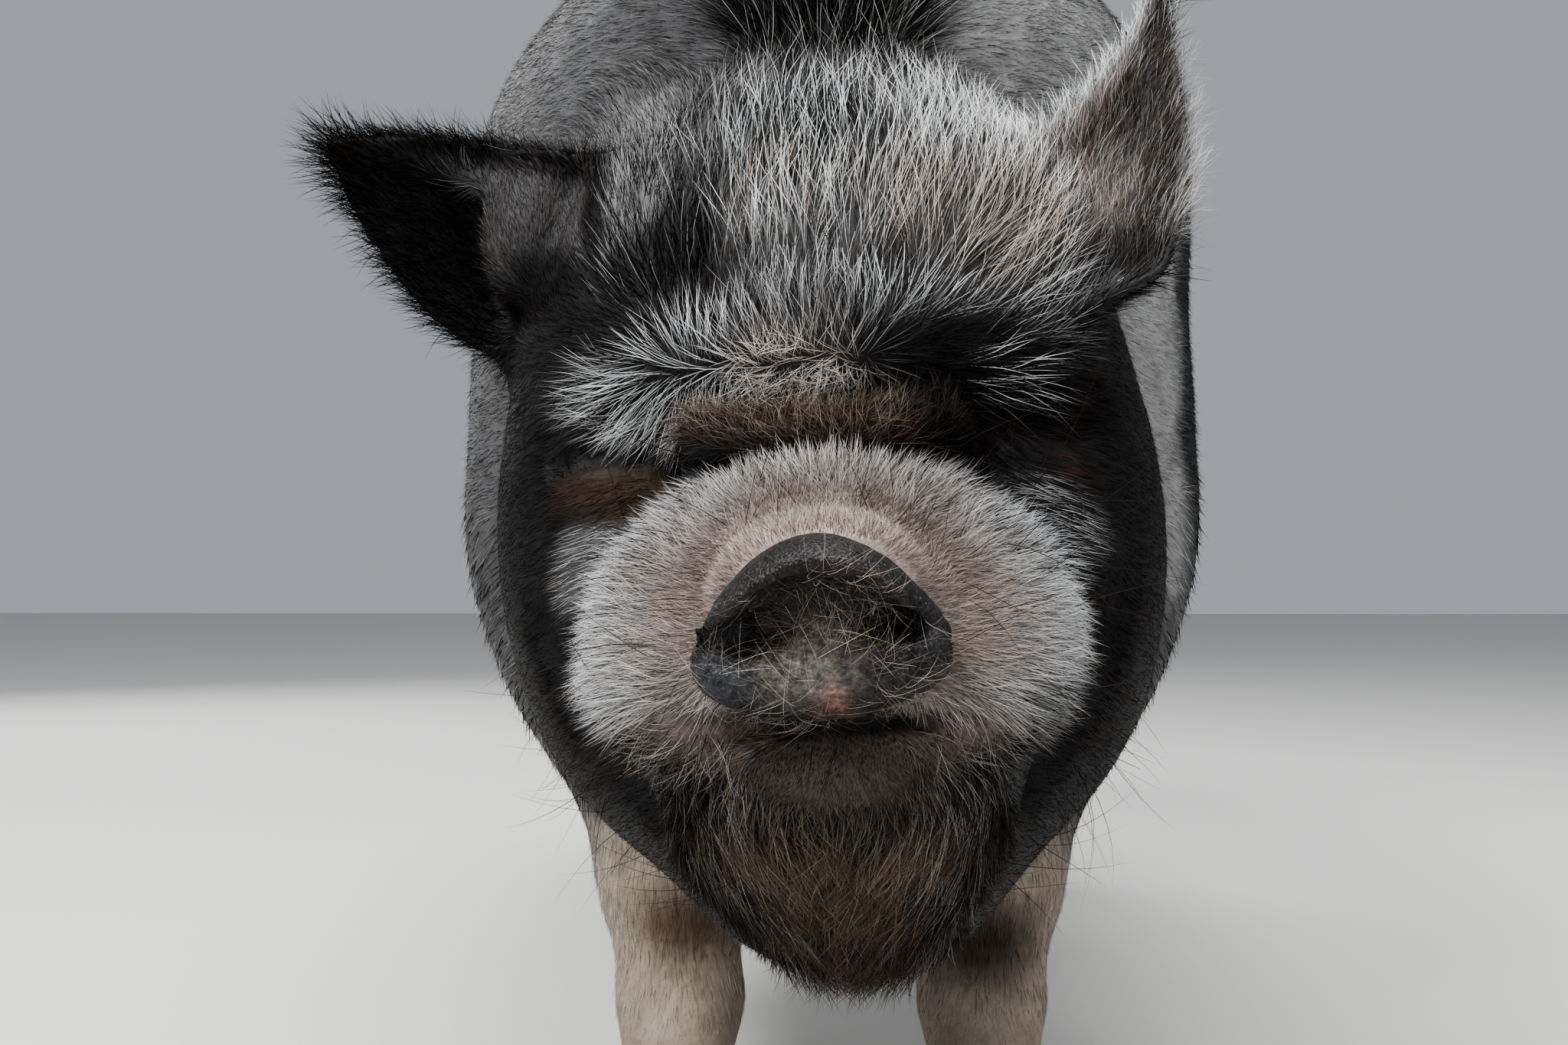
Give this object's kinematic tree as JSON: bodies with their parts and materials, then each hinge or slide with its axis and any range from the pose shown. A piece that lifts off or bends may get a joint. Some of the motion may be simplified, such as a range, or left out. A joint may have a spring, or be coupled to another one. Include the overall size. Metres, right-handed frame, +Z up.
{
  "type": "vietnamese pot-bellied pig",
  "caption": "Life-size standing adult pot-bellied pig with a low head, heavy jowls, upright ears, short legs and a bristly mottled coat.",
  "frame": {"origin": "on the floor under the middle of the animal's box", "axes": "-Y towards the snout, +X to the animal's left, +Z up"},
  "size_m": [0.3768, 1.1554, 0.5805],
  "materials": {
    "face_hide": "black and silver-white bristles over dark skin, pinkish muzzle",
    "ear_hide": "thin dark skin with fine grey hair",
    "body_hide": "mottled black, grey and white short coat",
    "snout_skin": "dusty black moist skin",
    "hoof_horn": "dull brown-grey horn",
    "eye": "wet dark brown"
  },
  "bodies": {
    "root": {"ear_left": "ear_hide", "ear_right": "ear_hide", "eye_left": "eye", "eye_right": "eye", "foreclaw_inner_left": "hoof_horn", "foreclaw_inner_right": "hoof_horn", "foreclaw_outer_left": "hoof_horn", "foreclaw_outer_right": "hoof_horn", "foredewclaw_inner_left": "hoof_horn", "foredewclaw_inner_right": "hoof_horn", "foredewclaw_outer_left": "hoof_horn", "foredewclaw_outer_right": "hoof_horn", "foreleg_left": "body_hide", "foreleg_right": "body_hide", "head": "face_hide", "hindclaw_inner_left": "hoof_horn", "hindclaw_inner_right": "hoof_horn", "hindclaw_outer_left": "hoof_horn", "hindclaw_outer_right": "hoof_horn", "hinddewclaw_inner_left": "hoof_horn", "hinddewclaw_inner_right": "hoof_horn", "hinddewclaw_outer_left": "hoof_horn", "hinddewclaw_outer_right": "hoof_horn", "hindleg_left": "body_hide", "hindleg_right": "body_hide", "lower_jaw": "face_hide", "neck": "body_hide", "snout_disc": "snout_skin", "tail": "body_hide", "torso": "body_hide"}
  },
  "joints": []
}
